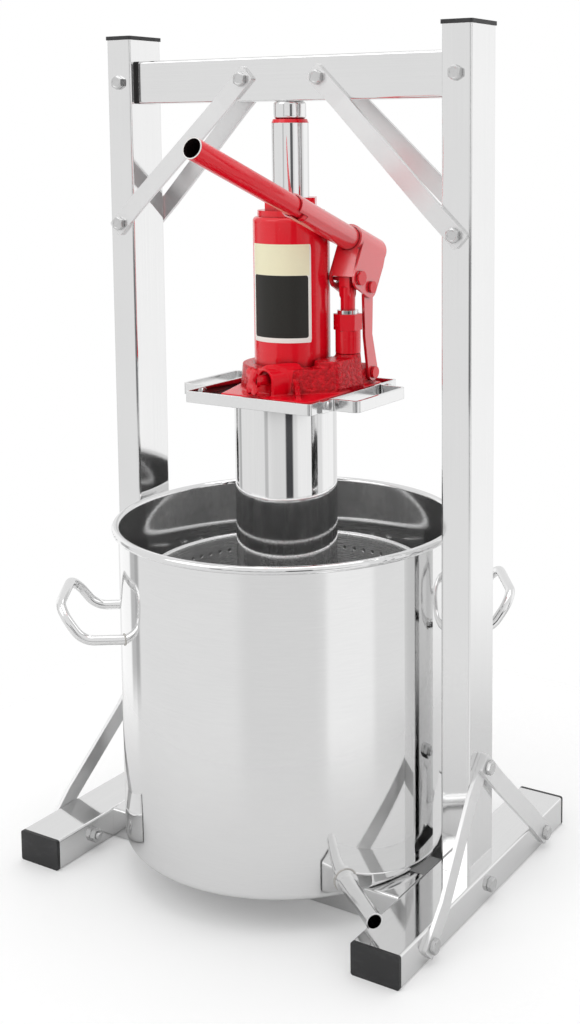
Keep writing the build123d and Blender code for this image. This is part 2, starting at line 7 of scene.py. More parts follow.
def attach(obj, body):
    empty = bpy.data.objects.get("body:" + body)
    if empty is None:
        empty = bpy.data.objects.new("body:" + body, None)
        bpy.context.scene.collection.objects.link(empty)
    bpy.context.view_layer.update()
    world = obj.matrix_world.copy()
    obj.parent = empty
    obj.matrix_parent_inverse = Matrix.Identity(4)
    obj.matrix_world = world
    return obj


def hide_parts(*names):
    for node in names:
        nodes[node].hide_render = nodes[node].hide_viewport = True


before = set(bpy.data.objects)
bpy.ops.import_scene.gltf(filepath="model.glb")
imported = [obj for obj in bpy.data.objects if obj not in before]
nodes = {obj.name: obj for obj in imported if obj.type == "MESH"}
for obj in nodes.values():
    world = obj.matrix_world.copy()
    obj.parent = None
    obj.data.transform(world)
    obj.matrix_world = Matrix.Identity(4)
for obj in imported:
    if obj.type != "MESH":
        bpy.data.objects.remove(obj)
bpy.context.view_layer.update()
mm = 0.001
pressAxis = (-2.0, -8.0)  # the barrel, basket and column stand on this line, in millimetres
print("loaded", len(nodes), "solids")


# Node trees

class Wire:  # one output of a node, which can stand in a sum
    def __init__(self, plan, socket):
        self.plan = plan
        self.socket = socket

    def maths(self, operation, second=0.0, first=None):
        sockets = {0: self if first is None else first, 1: second}
        return self.plan.node("ShaderNodeMath", {"operation": operation}, sockets)

    def __add__(self, other):
        return self.maths("ADD", other)

    def __radd__(self, other):
        return self.maths("ADD", self, other)

    def __sub__(self, other):
        return self.maths("SUBTRACT", other)

    def __rsub__(self, other):
        return self.maths("SUBTRACT", self, other)

    def __mul__(self, other):
        return self.maths("MULTIPLY", other)

    def __rmul__(self, other):
        return self.maths("MULTIPLY", self, other)

    def __truediv__(self, other):
        return self.maths("DIVIDE", other)

    def __rtruediv__(self, other):
        return self.maths("DIVIDE", self, other)

    def __lt__(self, other):
        return self.maths("LESS_THAN", other)

    def __gt__(self, other):
        return self.maths("GREATER_THAN", other)

    def __abs__(self):
        return self.maths("ABSOLUTE")


class Plan:  # one node tree, for a finish, the studio or a repeated piece
    def __init__(self, tree):
        self.tree = tree
        tree.nodes.clear()

    def node(self, kind, settings={}, sockets={}, out=0):
        made = self.tree.nodes.new(kind)
        for key, value in settings.items():
            setattr(made, key, value)
        for key, value in sockets.items():
            socket = self.pick(made.inputs, key)
            for part in value if isinstance(value, list) else [value]:
                if isinstance(part, Wire):
                    self.tree.links.new(part.socket, socket)
                else:
                    socket.default_value = part
        return Wire(self, self.pick(made.outputs, out)) if made.outputs else None

    def pick(self, sockets, key):
        if isinstance(key, int):
            return sockets[key]
        return next(s for s in sockets if key in (s.identifier, s.name))

    def mix(self, factor, first, second):
        sockets = {"Factor_Float": factor, "A_Color": first, "B_Color": second}
        return self.node("ShaderNodeMix", {"data_type": "RGBA"}, sockets, "Result_Color")

    def ramp(self, value, low, high):
        sockets = {"Value": value, "From Min": low, "From Max": high}
        return self.node("ShaderNodeMapRange", {"interpolation_type": "SMOOTHSTEP"}, sockets)

    def noise(self, vector, scale, detail=3.0, rough=0.5):
        sockets = {"Vector": vector, "Scale": scale, "Detail": detail, "Roughness": rough}
        return self.node("ShaderNodeTexNoise", {}, sockets)

    def stretched(self, vector, scale):
        return self.node("ShaderNodeMapping", {}, {"Vector": vector, "Scale": scale})

    def split(self, vector):
        return [self.node("ShaderNodeSeparateXYZ", {}, {0: vector}, axis) for axis in range(3)]

    def vectorMaths(self, operation, first, second=(0, 0, 0), out="Vector"):
        return self.node("ShaderNodeVectorMath", {"operation": operation}, {0: first, 1: second}, out)

    def softEdge(self, radius):
        return self.node("ShaderNodeBevel", {"samples": 4}, {"Radius": radius})

    def bump(self, height, distance, normal):
        return self.node("ShaderNodeBump", {}, {"Height": height, "Distance": distance, "Normal": normal})

    def given(self, title):
        return self.node("NodeGroupInput", out=title)

    def repeat(self, points, instance, sockets={}):
        sockets = {"Points": points, "Instance": instance, **sockets}
        return self.node("GeometryNodeInstanceOnPoints", {}, sockets)

    def realize(self, instances):
        return self.node("GeometryNodeRealizeInstances", {}, {0: instances})

    def closeGroup(self, geometry):
        sockets = {"Geometry": geometry, "Material": self.given("Finish")}
        coated = self.node("GeometryNodeSetMaterial", {}, sockets)
        self.node("NodeGroupOutput", {}, {"Geometry": coated})


def newFinish(name):
    material = bpy.data.materials.new(name)
    material.use_nodes = True
    plan = Plan(material.node_tree)
    return material, plan, plan.node("ShaderNodeTexCoord", out="Object")


def closeFinish(material, plan, sockets):
    surface = plan.node("ShaderNodeBsdfPrincipled", {}, sockets)
    plan.node("ShaderNodeOutputMaterial", {}, {"Surface": surface})
    return material


# Finishes

finishes = {}


def addFinishes(make, base, looks):
    for name, look in looks.items():
        finishes[name] = make(name, {**base, **look})
    print("finishes", ", ".join(looks))


def steelFinish(name, look):
    material, plan, place = newFinish(name)
    grain = plan.noise(plan.stretched(place, look["grain"]), 1.0, detail=4.0, rough=0.6)
    smear = plan.noise(place, look["smearScale"], detail=4.0, rough=0.6)
    swell = plan.noise(plan.stretched(place, look["swell"]), 1.0, detail=1.0)
    blend = grain * look["grainShare"] + smear * (1 - look["grainShare"])
    tone = plan.mix(blend, look["dark"], look["light"])
    rough = look["rough"] + (grain - 0.5) * look["grainRough"] + (smear - 0.5) * look["smearRough"]
    metal = 1.0
    if "trayShade" in look:  # painted shade and painted dark reflection: the tray's floor is darkened and roughened where it lies under the jack
        trayShade = look["trayShade"]
        x, y, z = plan.split(place)
        trayShadeCover = plan.ramp(z, trayShade["top"], trayShade["full"])
        trayShadeCover = trayShadeCover * (abs(x) < trayShade["halfX"]) * (abs(y) < trayShade["halfY"])
        tone = plan.mix(trayShadeCover, tone, trayShade["tone"])
        rough = rough + trayShadeCover * trayShade["rough"]
    if "inside" in look:  # the inside of a vessel is left satin
        inside = look["inside"]
        x, y, _ = plan.split(place)
        x = x - inside["x"]
        y = y - inside["y"]
        reach = (x * x + y * y).maths("SQRT")
        satin = plan.ramp(reach, inside["radius"], inside["radius"] - inside["fade"])
        rough = rough + satin * inside["rough"]
        metal = 1.0 - satin * inside["scatter"]
    elif "scatter" in look:
        metal = 1.0 - smear * look["scatter"]
    swollen = plan.bump(swell, look["swellDepth"], plan.softEdge(look["edge"]))
    normal = plan.bump(grain, look["grainDepth"], swollen)
    sockets = {"Base Color": tone, "Metallic": metal, "Roughness": rough, "Normal": normal}
    return closeFinish(material, plan, sockets)


polish = {
    "dark": (0.74, 0.74, 0.745, 1), "light": (0.86, 0.86, 0.855, 1), "rough": 0.075, "grainShare": 0.6,
    "grainRough": 0.05, "smearRough": 0.06, "smearScale": 14.0, "edge": 0.5 * mm, "grainDepth": 0.0006 * mm,
    "swellDepth": 0.05 * mm,
}
rolled = {"grain": (60, 60, 1800), "swell": (5, 5, 3), "swellDepth": 0.03 * mm, "edge": 0.3 * mm}  # sheet
addFinishes(steelFinish, polish, {
    "polishedUpright": {"grain": (1500, 1500, 7), "swell": (9, 9, 5)},
    "polishedFoot": {"grain": (1500, 7, 1500), "swell": (9, 5, 9)},
    "polishedRail": {"grain": (7, 1500, 1500), "swell": (5, 9, 9)},
    "polishedBrace": {
        "grain": (60, 60, 60), "swell": (14, 14, 14), "light": (0.84, 0.84, 0.835, 1), "rough": 0.3,
        "scatter": 0.5, "grainDepth": 0.0, "edge": 0.4 * mm},
    "polishedBarrel": {**rolled, "rough": 0.06, "inside": {
        "x": pressAxis[0] * mm, "y": pressAxis[1] * mm, "radius": 135.6 * mm, "fade": 0.1 * mm, "rough": 0.03,
        "scatter": 0.08}},
    "polishedSheet": {**rolled, "rough": 0.08, "scatter": 0.16},
    "satinSheet": {**rolled, "rough": 0.27, "scatter": 0.46},
    "polishedColumn": {
        "grain": (900, 900, 12), "swell": (8, 8, 3), "rough": 0.05, "swellDepth": 0.01 * mm,
        "edge": 0.3 * mm},
    "turnedSteel": {
        "grain": (40, 40, 2600), "swell": (8, 8, 8), "rough": 0.10, "swellDepth": 0.0, "edge": 0.3 * mm},
    "foldedSteel": {
        "grain": (500, 500, 500), "swell": (20, 20, 20), "rough": 0.16, "swellDepth": 0.03 * mm,
        # trayShade: painted shade and dark reflection on the tray's floor
        "edge": 0.6 * mm, "trayShade": {
            "top": 383.9 * mm, "full": 383.5 * mm, "halfX": 58.2 * mm, "halfY": 63.2 * mm, "rough": 0.2,
            "tone": (0.035, 0.036, 0.038, 1)}},
    "boltSteel": {
        "grain": (700, 700, 700), "swell": (90, 90, 90), "dark": (0.50, 0.50, 0.51, 1),
        "light": (0.74, 0.74, 0.73, 1), "rough": 0.24, "smearScale": 160.0, "smearRough": 0.14,
        "swellDepth": 0.02 * mm, "edge": 0.3 * mm},
    "weldSteel": {
        "grain": (900, 900, 900), "swell": (300, 300, 300), "dark": (0.42, 0.40, 0.38, 1),
        "light": (0.70, 0.69, 0.66, 1), "rough": 0.2, "smearScale": 120.0, "swellDepth": 0.1 * mm,
        "edge": 0.1 * mm},
})


def enamelFinish(name, look):
    material, plan, place = newFinish(name)
    cloud = plan.noise(place, look["cloudScale"])
    peel = plan.noise(place, look["peelScale"], detail=2.0, rough=0.45)
    dust = plan.noise(place, look["dustScale"], detail=2.0)
    tone = plan.mix(cloud, look["dark"], look["light"])
    rough = look["rough"] + (peel - 0.5) * look["peelRough"] + (dust - 0.5) * look["dustRough"]
    relief = peel
    depth = look["peelDepth"]
    sockets = {
        "Coat Weight": look["coat"], "Coat Roughness": look["coatRough"], "Coat IOR": look["coatIndex"],
        "Specular IOR Level": look["shine"],
    }
    if "skin" in look:  # sand-cast skin, kept to the faces that weren't dressed
        skin = look["skin"]
        mask = plan.node("ShaderNodeAttribute", {"attribute_name": "castSkin"}, {}, "Fac")
        pits = plan.noise(place, skin["scale"], detail=2.0, rough=0.6)
        relief = peel * skin["peelShare"] + mask * pits
        depth = skin["depth"]
        tone = plan.mix(plan.ramp(pits, skin["shallow"], skin["deep"]) * mask, tone, skin["tone"])
    if "tip" in look:  # paint rubbed off the cut end of the lever, and painted shade inside its bore
        tip = look["tip"]
        offset = plan.vectorMaths("SUBTRACT", place, tip["root"])
        reach = plan.vectorMaths("DOT_PRODUCT", offset, tip["axis"], "Value")
        bare = plan.ramp(reach + (cloud - 0.5) * tip["ragged"], tip["paintEnd"], tip["steelStart"])
        aside = plan.vectorMaths("CROSS_PRODUCT", offset, tip["axis"])
        aside = plan.vectorMaths("LENGTH", aside, out="Value")
        inBore = plan.ramp(aside, tip["bore"] + tip["fade"], tip["bore"])
        # the bore is painted near black: painted shade inside the tube
        tone = plan.mix(inBore, plan.mix(bare, tone, tip["tone"]), tip["soot"])
        sockets["Metallic"] = bare
    cornerShade = look["cornerShade"]  # painted shade: the base colour is darkened in corners and recesses that ambient occlusion finds
    clear = plan.node("ShaderNodeAmbientOcclusion", {"samples": 6}, {"Distance": cornerShade["reach"]}, "AO")
    cornerShadeMask = plan.ramp(clear, cornerShade["open"], cornerShade["shut"]) * cornerShade["share"]
    sockets["Base Color"] = plan.mix(cornerShadeMask, tone, cornerShade["tone"])
    sockets["Roughness"] = rough
    sockets["Normal"] = plan.bump(relief, depth, plan.softEdge(look["edge"]))
    return closeFinish(material, plan, sockets)


lever = {"pin": (43.0, 32.4, 470.1), "rise": 32.6, "angle": radians(20.4)}  # its tube runs above the link pin
leverSine = sin(lever["angle"])
leverCosine = cos(lever["angle"])
leverRoot = Vector(lever["pin"]) + Vector((0, leverSine, leverCosine)) * lever["rise"]
enamel = {
    "dark": (0.76, 0.002, 0.012, 1), "light": (0.86, 0.004, 0.020, 1), "rough": 0.26, "edge": 0.7 * mm,
    "cloudScale": 45.0, "peelScale": 260.0, "peelDepth": 0.012 * mm, "peelRough": 0.08, "dustScale": 2400.0,
    "dustRough": 0.05, "coat": 0.6, "coatRough": 0.05, "coatIndex": 1.6, "shine": 0.2,
    # painted shade in corners and recesses, darkened by ambient occlusion
    "cornerShade": {
        "reach": 7.0 * mm, "open": 0.85, "shut": 0.35, "share": 0.75, "tone": (0.16, 0.001, 0.003, 1)},
}
addFinishes(enamelFinish, enamel, {
    "redEnamel": {},
    "redGloss": {"rough": 0.34, "coat": 0.9, "coatRough": 0.16, "coatIndex": 2.0, "shine": 0.7},
    "redLever": {"tip": {
        "root": tuple(leverRoot * mm), "axis": (0.0, -leverCosine, leverSine), "ragged": 0.4 * mm,
        "paintEnd": 237.45 * mm, "steelStart": 237.7 * mm, "tone": (0.50, 0.48, 0.47, 1), "bore": 7.0 * mm,
        # soot: painted shade, near black, inside the lever's bore
        "fade": 0.1 * mm, "soot": (0.012, 0.010, 0.010, 1)}},
    "redCasting": {"rough": 0.2, "edge": 0.2 * mm, "coat": 0.2, "shine": 0.14, "skin": {
        "scale": 300.0, "depth": 2.6 * mm, "peelShare": 0.12, "shallow": 0.3, "deep": 0.6,
        "tone": (0.56, 0.002, 0.010, 1)}},
})


def mouldedFinish(name, look):
    material, plan, place = newFinish(name)
    grain = plan.noise(place, look["grainScale"], rough=0.6)
    scuff = plan.noise(plan.stretched(place, look["scuff"]), 1.0, detail=5.0, rough=0.7)
    tone = plan.mix(plan.ramp(scuff, *look["scuffRange"]), look["dark"], look["light"])
    rough = look["rough"] + (grain - 0.5) * look["grainRough"]
    normal = plan.bump(grain, look["grainDepth"], plan.softEdge(look["edge"]))
    return closeFinish(material, plan, {"Base Color": tone, "Roughness": rough, "Normal": normal})


moulded = {"scuff": (30, 120, 60), "scuffRange": (0.45, 0.75), "grainRough": 0.2}
addFinishes(mouldedFinish, moulded, {
    "blackPlastic": {
        "dark": (0.018, 0.018, 0.019, 1), "light": (0.045, 0.045, 0.047, 1), "grainScale": 1500.0,
        "grainDepth": 0.05 * mm, "edge": 0.9 * mm, "rough": 0.5},
    "blackRubber": {
        "dark": (0.010, 0.010, 0.010, 1), "light": (0.025, 0.025, 0.026, 1), "grainScale": 2600.0,
        "grainDepth": 0.04 * mm, "edge": 0.4 * mm, "rough": 0.7},
})


def labelFinish(name, look):
    material, plan, place = newFinish(name)
    across, up, _ = plan.split(plan.node("ShaderNodeUVMap", {"uv_map": "sticker"}))
    fibre = plan.noise(place, look["fibreScale"])
    cloud = plan.noise(place, look["cloudScale"])
    width, height = look["size"]
    left, bottom, rightGap, top = look["panel"]
    corner, fade, inkFade = look["corner"], look["fade"], look["inkFade"]
    border = width / 2 - look["margin"]

    def past(value, low, high):  # how far a value lies outside the panel's straight sides
        return (abs(value - (low + high) / 2) - ((high - low) / 2 - corner)).maths("MAXIMUM", 0.0)

    offX = past(across * width, left, width - rightGap)
    offY = past(up * height, bottom, top)
    panel = plan.ramp((offX * offX + offY * offY).maths("SQRT"), corner + inkFade, corner - inkFade)
    paper = plan.mix(plan.ramp(up * height, top - fade, top + fade), look["white"], look["cream"])
    paper = plan.mix(plan.ramp(abs(across - 0.5) * width, border, border + fade), paper, look["white"])
    paper = plan.mix(cloud * look["soil"], paper, look["shade"])
    tone = plan.mix(panel, paper, plan.mix(fibre, look["ink"], look["inkLight"]))
    rough = look["rough"] + (fibre - 0.5) * look["fibreRough"] + panel * look["inkRough"]
    flat = plan.node("ShaderNodeNewGeometry", out="Normal")
    return closeFinish(material, plan, {
        "Base Color": tone, "Roughness": rough, "Specular IOR Level": look["shine"],
        "Normal": plan.bump(fibre, look["fibreDepth"], flat)})


# Meshes and pieces

def addObject(name, data):
    made = bpy.data.objects.new(name, data)
    bpy.context.scene.collection.objects.link(made)
    return made


def addPiece(name, mesh, body, replaced=(), finish=None, sharp=35.0):
    mesh.shade_smooth()
    mesh.set_sharp_from_angle(angle=radians(sharp))
    piece = addObject(name, mesh)
    if finish:
        mesh.materials.clear()
        mesh.materials.append(finishes[finish])
    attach(piece, body)
    if replaced:
        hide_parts(*replaced)


def plainMesh(name, points, edges=(), faces=()):
    mesh = bpy.data.meshes.new(name)
    mesh.from_pydata([tuple(p) for p in points], list(edges), list(faces))
    return mesh


def meshFrom(bm, name):
    mesh = bpy.data.meshes.new(name)
    bm.to_mesh(mesh)
    bm.free()
    return mesh


def bakedMesh(blank, *helpers):  # the mesh that the modifiers give; the blank and its helpers then go
    graph = bpy.context.evaluated_depsgraph_get()
    graph.update()
    mesh = bpy.data.meshes.new_from_object(blank.evaluated_get(graph))
    blank.modifiers.clear()
    for spent in (blank, *helpers):
        bpy.data.objects.remove(spent)
    return mesh


def cutAway(blank, cutter):
    cut = blank.modifiers.new("cut", "BOOLEAN")
    cut.operation = "DIFFERENCE"
    cut.object = cutter


def thickened(mesh, thick, offset):
    sheet = addObject("sheet", mesh)
    wall = sheet.modifiers.new("wall", "SOLIDIFY")
    wall.thickness = thick
    wall.offset = offset
    return bakedMesh(sheet)


def newGroup(name, inputs):
    group = bpy.data.node_groups.new(name, "GeometryNodeTree")
    group.interface.new_socket(name="Geometry", in_out="OUTPUT", socket_type="NodeSocketGeometry")
    for title, kind in inputs.items():
        group.interface.new_socket(name=title, in_out="INPUT", socket_type="NodeSocket" + kind)
    return group, Plan(group)


def runGroup(group, mesh, values):
    carrier = addObject("carrier", mesh)
    modifier = carrier.modifiers.new("repeat", "NODES")
    modifier.node_group = group
    sockets = {s.name: s.identifier for s in group.interface.items_tree if s.in_out == "INPUT"}
    for title, value in values.items():
        modifier[sockets[title]] = value
    return bakedMesh(carrier, *[v for v in values.values() if isinstance(v, bpy.types.Object)])


def turnsRound(count):
    return [2 * pi * i / count for i in range(count)]


def circleRing(radius, height, count=48, centre=(0.0, 0.0)):
    x, y = centre
    return [(x + radius * cos(t), y + radius * sin(t), height) for t in turnsRound(count)]


def hexRing(across, height, drop=None, count=48):
    ring = []
    for turn in turnsRound(count):
        inSide = (turn + pi / 6) % (pi / 3) - pi / 6
        radius = across / 2 / cos(inSide)
        fall = max(0.0, radius - drop) * tan(radians(30)) if drop else 0.0
        ring.append((radius * cos(turn), radius * sin(turn), height - fall))
    return ring


def ringMesh(name, rings, capStart=True, capEnd=True):
    count = len(rings[0])
    points = [p for ring in rings for p in ring]
    faces = []
    for row in range(len(rings) - 1):
        low, high = row * count, (row + 1) * count
        for i in range(count):
            j = (i + 1) % count
            faces.append((low + i, low + j, high + j, high + i))
    if capStart:
        faces.append(tuple(reversed(range(count))))
    if capEnd:
        faces.append(tuple((len(rings) - 1) * count + i for i in range(count)))
    return plainMesh(name, points, (), faces)


def scaled(rings):
    return [[Vector(p) * mm for p in ring] for ring in rings]


# Bolts with their nuts, set on points that carry a direction and a grip

boltShape = {  # shares of the width across flats, the height and the shank
    "washer": 0.47, "seat": 0.08, "crown": 0.465, "rim": 0.38, "dish": 0.35, "sink": 0.05, "nutSeat": 0.07,
    "nutCrown": 0.46, "mouth": 1.08, "mouthDepth": 0.03, "threadDepth": 0.1, "root": 0.86, "tip": 0.8,
}


def headMesh(size, shape):
    across, high = size["across"] * mm, size["head"] * mm
    washer, seat = across * shape["washer"], shape["seat"] * high
    return ringMesh("boltHead", [
        circleRing(washer, 0), circleRing(washer, seat), hexRing(across, seat), hexRing(across, high, washer),
        circleRing(across * shape["crown"], high), circleRing(across * shape["rim"], high),
        circleRing(across * shape["dish"], high - shape["sink"] * high)])


def nutMesh(size, shape):
    across, high = size["across"] * mm, size["nut"] * mm
    shank, pitch = size["shank"] * mm, size["pitch"] * mm
    washer = across * shape["washer"]
    end = high + size["tail"] * mm
    rings = [
        circleRing(washer, 0), hexRing(across, shape["nutSeat"] * high), hexRing(across, high, washer),
        circleRing(across * shape["nutCrown"], high),
        circleRing(shank * shape["mouth"], high - shape["mouthDepth"] * high),
        circleRing(shank, high - shape["threadDepth"] * high)]
    height = high
    while height + pitch < end:
        rings.append(circleRing(shank * shape["root"], height + pitch * 0.25))
        rings.append(circleRing(shank, height + pitch * 0.75))
        height += pitch
    rings.append(circleRing(shank * shape["tip"], end))
    return ringMesh("nutAndTail", rings)


def boltTree():
    group, plan = newGroup("boltUp", {
        "Geometry": "Geometry", "Head": "Object", "Nut": "Object", "Shank": "Object", "Finish": "Material"})
    source = plan.given("Geometry")

    def blank(title):
        return plan.node("GeometryNodeObjectInfo", {}, {"Object": plan.given(title)}, "Geometry")

    def attribute(kind, title):
        return plan.node("GeometryNodeInputNamedAttribute", {"data_type": kind}, {"Name": title}, "Attribute")

    def times(vector, factor):
        return plan.node("ShaderNodeVectorMath", {"operation": "SCALE"}, {0: vector, "Scale": factor})

    def along(vector):
        return plan.node("FunctionNodeAlignRotationToVector", {"axis": "Z"}, {"Vector": vector})

    facing = attribute("FLOAT_VECTOR", "facing")
    grip = attribute("FLOAT", "grip")
    back = times(facing, -1.0)
    inward = along(back)
    far = plan.node("GeometryNodeSetPosition", {}, {"Geometry": source, "Offset": times(back, grip)})
    length = plan.node("ShaderNodeCombineXYZ", {}, {0: 1.0, 1: 1.0, 2: grip})
    heads = plan.repeat(source, blank("Head"), {"Rotation": along(facing)})
    nuts = plan.repeat(far, blank("Nut"), {"Rotation": inward})
    shanks = plan.repeat(source, blank("Shank"), {"Rotation": inward, "Scale": length})
    joined = plan.node("GeometryNodeJoinGeometry", {}, {0: [heads, nuts, shanks]})
    plan.closeGroup(plan.realize(joined))
    return group


boltGroup = boltTree()


def boltSet(name, size, seats, body, replaced):
    points = plainMesh(name + "Seats", [[v * mm for v in seat] for seat, _, _ in seats])
    facing = points.attributes.new("facing", "FLOAT_VECTOR", "POINT")
    facing.data.foreach_set("vector", [v for _, out, _ in seats for v in out])
    grip = points.attributes.new("grip", "FLOAT", "POINT")
    grip.data.foreach_set("value", [thick * mm for _, _, thick in seats])
    rod = [circleRing(size["shank"] * mm, end, count=24) for end in (0, 1.0)]
    mesh = runGroup(boltGroup, points, {
        "Head": addObject("head", headMesh(size, boltShape)),
        "Nut": addObject("nut", nutMesh(size, boltShape)),
        "Shank": addObject("rod", ringMesh("shank", rod, capStart=False, capEnd=False)),
        "Finish": finishes["boltSteel"]})
    addPiece(name, mesh, body, replaced, sharp=25.0)
    print(name, len(seats), "bolts")


frameBolts = {
    "across": 10.0, "head": 4.0, "shank": 3.0, "nut": 5.0, "tail": 2.0, "pitch": 0.8,
    "front": (((160, -20, 636.5), 40), ((36.5, -15.5, 636.5), 31), ((160, -23, 518.5), 46)),
    "outer": (((180, 0, 12.5), 40), ((183, -97, 12.5), 43), ((183, 97, 12.5), 43), ((178.5, 0, 107), 31)),
}
frameSeats = []
for side in (-1, 1):
    frameSeats += [((side * x, y, z), (0, -1, 0), grip) for (x, y, z), grip in frameBolts["front"]]
    frameSeats += [((side * x, y, z), (side, 0, 0), grip) for (x, y, z), grip in frameBolts["outer"]]
boltSet("frameBolts", frameBolts, frameSeats, "frame", [
    "beam_pin_bolts", "beam_brace_bolts", "upright_brace_bolts", "foot_pin_bolts", "foot_brace_bolts",
    "lower_brace_bolts", "frame_nuts"])

strapScrews = {
    "across": 6.0, "head": 2.5, "shank": 1.8, "nut": 2.4, "tail": 0.0, "pitch": 0.6, "outer": 62.5,
    "spread": 44.5, "height": 386.9, "grip": 4.5,
}
strapSeats = []
for side in (-1, 1):
    for end in (-1, 1):
        spot = (side * strapScrews["outer"], end * strapScrews["spread"], strapScrews["height"])
        strapSeats.append((spot, (side, 0, 0), strapScrews["grip"]))
boltSet("strapScrews", strapScrews, strapSeats, "press_head", ["strap_screws", "strap_nuts"])


# Sieve basket: a punched cell is repeated over a strip, and the strip is rolled round

sieve = {
    "radius": 112.0, "wall": 1.2, "bottom": 40.6, "corner": 6.0, "floorRings": (40.0, 75.0), "columns": 72,
    "cellEdge": 4, "rows": 8, "pitch": 22.0, "topRow": 226.2, "hole": 1.75, "bead": 2.5, "beadHeight": 237.7,
    "beadSides": 288, "footTurns": (0, 120, 240), "footCircle": 84.0, "foot": 8.0, "footHeight": 14.0,
    "footEdge": 1.0, "footSink": 0.2, "footSides": 40,
}


def sieveTree():
    group, plan = newGroup("rolledSieve", {
        "Geometry": "Geometry", "Cell": "Object", "Columns": "Int", "Rows": "Int", "Radius": "Float",
        "Pitch": "Float", "Top Row": "Float", "Finish": "Material"})

    def merged(geometry, distance):
        return plan.node("GeometryNodeMergeByDistance", {}, {0: geometry, "Distance": distance})

    columns, rows, radius, pitch = (plan.given(title) for title in ("Columns", "Rows", "Radius", "Pitch"))
    step = radius * (2 * pi) / columns
    tall = pitch * (rows - 1.0)
    strip = plan.node("GeometryNodeMeshGrid", {}, {
        "Size X": step * (columns - 1.0), "Size Y": tall, "Vertices X": columns, "Vertices Y": rows}, "Mesh")
    cell = plan.node("GeometryNodeObjectInfo", {}, {"Object": plan.given("Cell")}, "Geometry")
    flat = merged(plan.realize(plan.repeat(strip, cell)), 0.02 * mm)
    along, up, _ = plan.split(plan.node("GeometryNodeInputPosition"))
    turn = along / radius
    rolledSpot = plan.node("ShaderNodeCombineXYZ", {}, {
        0: radius * turn.maths("COSINE"), 1: radius * turn.maths("SINE"),
        2: up + plan.given("Top Row") - tall * 0.5})
    tube = plan.node("GeometryNodeSetPosition", {}, {"Geometry": flat, "Position": rolledSpot})
    plan.closeGroup(merged(tube, 0.05 * mm))
    return group


def punchedCell(width, height, hole):
    walk = [(1, 0), (1, 0.5), (1, 1), (0.5, 1), (0, 1), (-0.5, 1), (-1, 1), (-1, 0.5)]  # half of the edge
    walk += [(-x, -y) for x, y in walk]
    count = len(walk)
    edge = [(x * width / 2, y * height / 2, 0) for x, y in walk]
    faces = [(i, count + i, count + (i + 1) % count, (i + 1) % count) for i in range(count)]
    return plainMesh("punchedCell", circleRing(hole, 0, count) + edge, (), faces)


def lathe(bm, profile, axis, count):
    rings = []
    for radius, height in profile:
        if radius == 0:
            rings.append([bm.verts.new((*axis, height))] * count)
        else:
            rings.append([bm.verts.new(p) for p in circleRing(radius, height, count, axis)])
    for low, high in zip(rings, rings[1:]):
        for i in range(count):
            corners = [low[i], low[(i + 1) % count], high[(i + 1) % count], high[i]]
            bm.faces.new([v for k, v in enumerate(corners) if v not in corners[:k]])


def makeSieve(size):
    wall, pitch = size["wall"] * mm, size["pitch"] * mm
    middle = (size["radius"] - size["wall"] / 2) * mm
    step = 2 * pi * middle / size["columns"]
    strip = runGroup(sieveTree(), plainMesh("strip", []), {
        "Cell": addObject("cell", punchedCell(step, pitch, size["hole"] * mm)), "Columns": size["columns"],
        "Rows": size["rows"], "Radius": middle, "Pitch": pitch, "Top Row": size["topRow"] * mm,
        "Finish": finishes["satinSheet"]})
    axis = [v * mm for v in pressAxis]
    bm = bmesh.new()
    bm.from_mesh(strip)
    bmesh.ops.translate(bm, verts=bm.verts, vec=(*axis, 0))
    low = min(v.co.z for v in bm.verts)
    corner = (size["corner"] - size["wall"] / 2) * mm
    floor = (size["bottom"] + size["wall"] / 2) * mm
    profile = [(0, floor)] + [(radius * mm, floor) for radius in size["floorRings"]]
    for turn in (radians(a) for a in range(0, 91, 15)):
        profile.append((middle - corner + corner * sin(turn), floor + corner - corner * cos(turn)))
    profile += [(middle, (floor + corner + low) / 2), (middle, low)]
    lathe(bm, profile, axis, size["columns"] * size["cellEdge"])
    bmesh.ops.remove_doubles(bm, verts=bm.verts, dist=0.05 * mm)
    bmesh.ops.recalc_face_normals(bm, faces=bm.faces)
    shell = thickened(meshFrom(bm, "sieveSheet"), wall, 0.0)
    bm = bmesh.new()
    bm.from_mesh(shell)
    bead, beadHeight = size["bead"] * mm, size["beadHeight"] * mm
    centre = (size["radius"] - size["wall"]) * mm + bead
    around = [radians(a) for a in range(0, 361, 20)]
    rim = [(centre + bead * cos(a), beadHeight + bead * sin(a)) for a in around]
    lathe(bm, rim, axis, size["beadSides"])
    foot, tall, edge = size["foot"] * mm, size["footHeight"] * mm, size["footEdge"] * mm
    base = size["bottom"] * mm - tall
    top = base + tall + size["footSink"] * mm
    outline = [(0, base), (foot - edge, base), (foot, base + edge), (foot, top)]
    for turn in (radians(a) for a in size["footTurns"]):
        reach = size["footCircle"] * mm
        spot = [axis[0] + reach * cos(turn), axis[1] + reach * sin(turn)]
        lathe(bm, outline, spot, size["footSides"])
    bmesh.ops.remove_doubles(bm, verts=bm.verts, dist=0.01 * mm)
    made = meshFrom(bm, "sieveBasket")
    replaced = ["basket_wall", "basket_floor"]
    addPiece("sieveBasket", made, "basket", replaced, "satinSheet", sharp=40.0)
    print("sieve basket", size["columns"] * size["rows"], "holes")


makeSieve(sieve)


# Jack base: the solid is remeshed and relaxed so its corners run together as a casting's do

